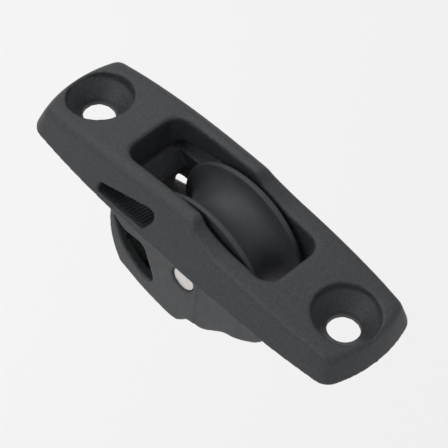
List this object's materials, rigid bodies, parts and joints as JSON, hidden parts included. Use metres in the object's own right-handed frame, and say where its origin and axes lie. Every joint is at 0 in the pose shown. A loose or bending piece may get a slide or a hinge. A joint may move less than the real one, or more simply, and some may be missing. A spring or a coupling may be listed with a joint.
{
  "type": "sheave block",
  "caption": "Flush-mounted single sheave block: moulded flanged housing with a grooved sheave on a ball ring and a plain steel axle pin.",
  "frame": {"origin": "midway between the two screw holes, on the flat underside of the flange, in the plane of the surface that the block is let into", "axes": "+X along the flange towards its low end, where the line leads away; +Y across the flange, along the axle; +Z out of the mounting surface, towards the viewer of an installed block"},
  "size_m": [0.0526, 0.0168, 0.0208],
  "materials": {
    "housing_plastic": "fine satin moulding grain, charcoal black",
    "sheave_acetal": "smooth satin, black with a faint blue cast",
    "race_acetal": "smooth satin black",
    "ball_acetal": "polished off-white acetal",
    "stainless_steel": "turned and lightly faced stainless steel"
  },
  "bodies": {
    "housing": {"housing": "housing_plastic", "axle_pin": "stainless_steel", "inner_race_near": "race_acetal", "inner_race_far": "race_acetal"},
    "sheave": {"sheave": "sheave_acetal"},
    "ball_ring": {"bearing_ball_01": "ball_acetal", "bearing_ball_02": "ball_acetal", "bearing_ball_03": "ball_acetal", "bearing_ball_04": "ball_acetal", "bearing_ball_05": "ball_acetal", "bearing_ball_06": "ball_acetal", "bearing_ball_07": "ball_acetal", "bearing_ball_08": "ball_acetal", "bearing_ball_09": "ball_acetal", "bearing_ball_10": "ball_acetal", "bearing_ball_11": "ball_acetal", "bearing_ball_12": "ball_acetal", "bearing_ball_13": "ball_acetal", "bearing_ball_14": "ball_acetal", "bearing_ball_15": "ball_acetal"}
  },
  "joints": [
    {"name": "sheave_spin", "type": "hinge", "parent": "housing", "child": "sheave", "pos_m": [0.00142, 0, -0.00386], "axis": [0, 1, 0], "continuous": true},
    {"name": "ball_orbit", "type": "hinge", "parent": "housing", "child": "ball_ring", "pos_m": [0.00142, 0, -0.00386], "axis": [0, 1, 0], "continuous": true}
  ],
  "couplings": [
    {"joint": "ball_orbit", "follows": "sheave_spin", "ratio": 0.599}
  ]
}
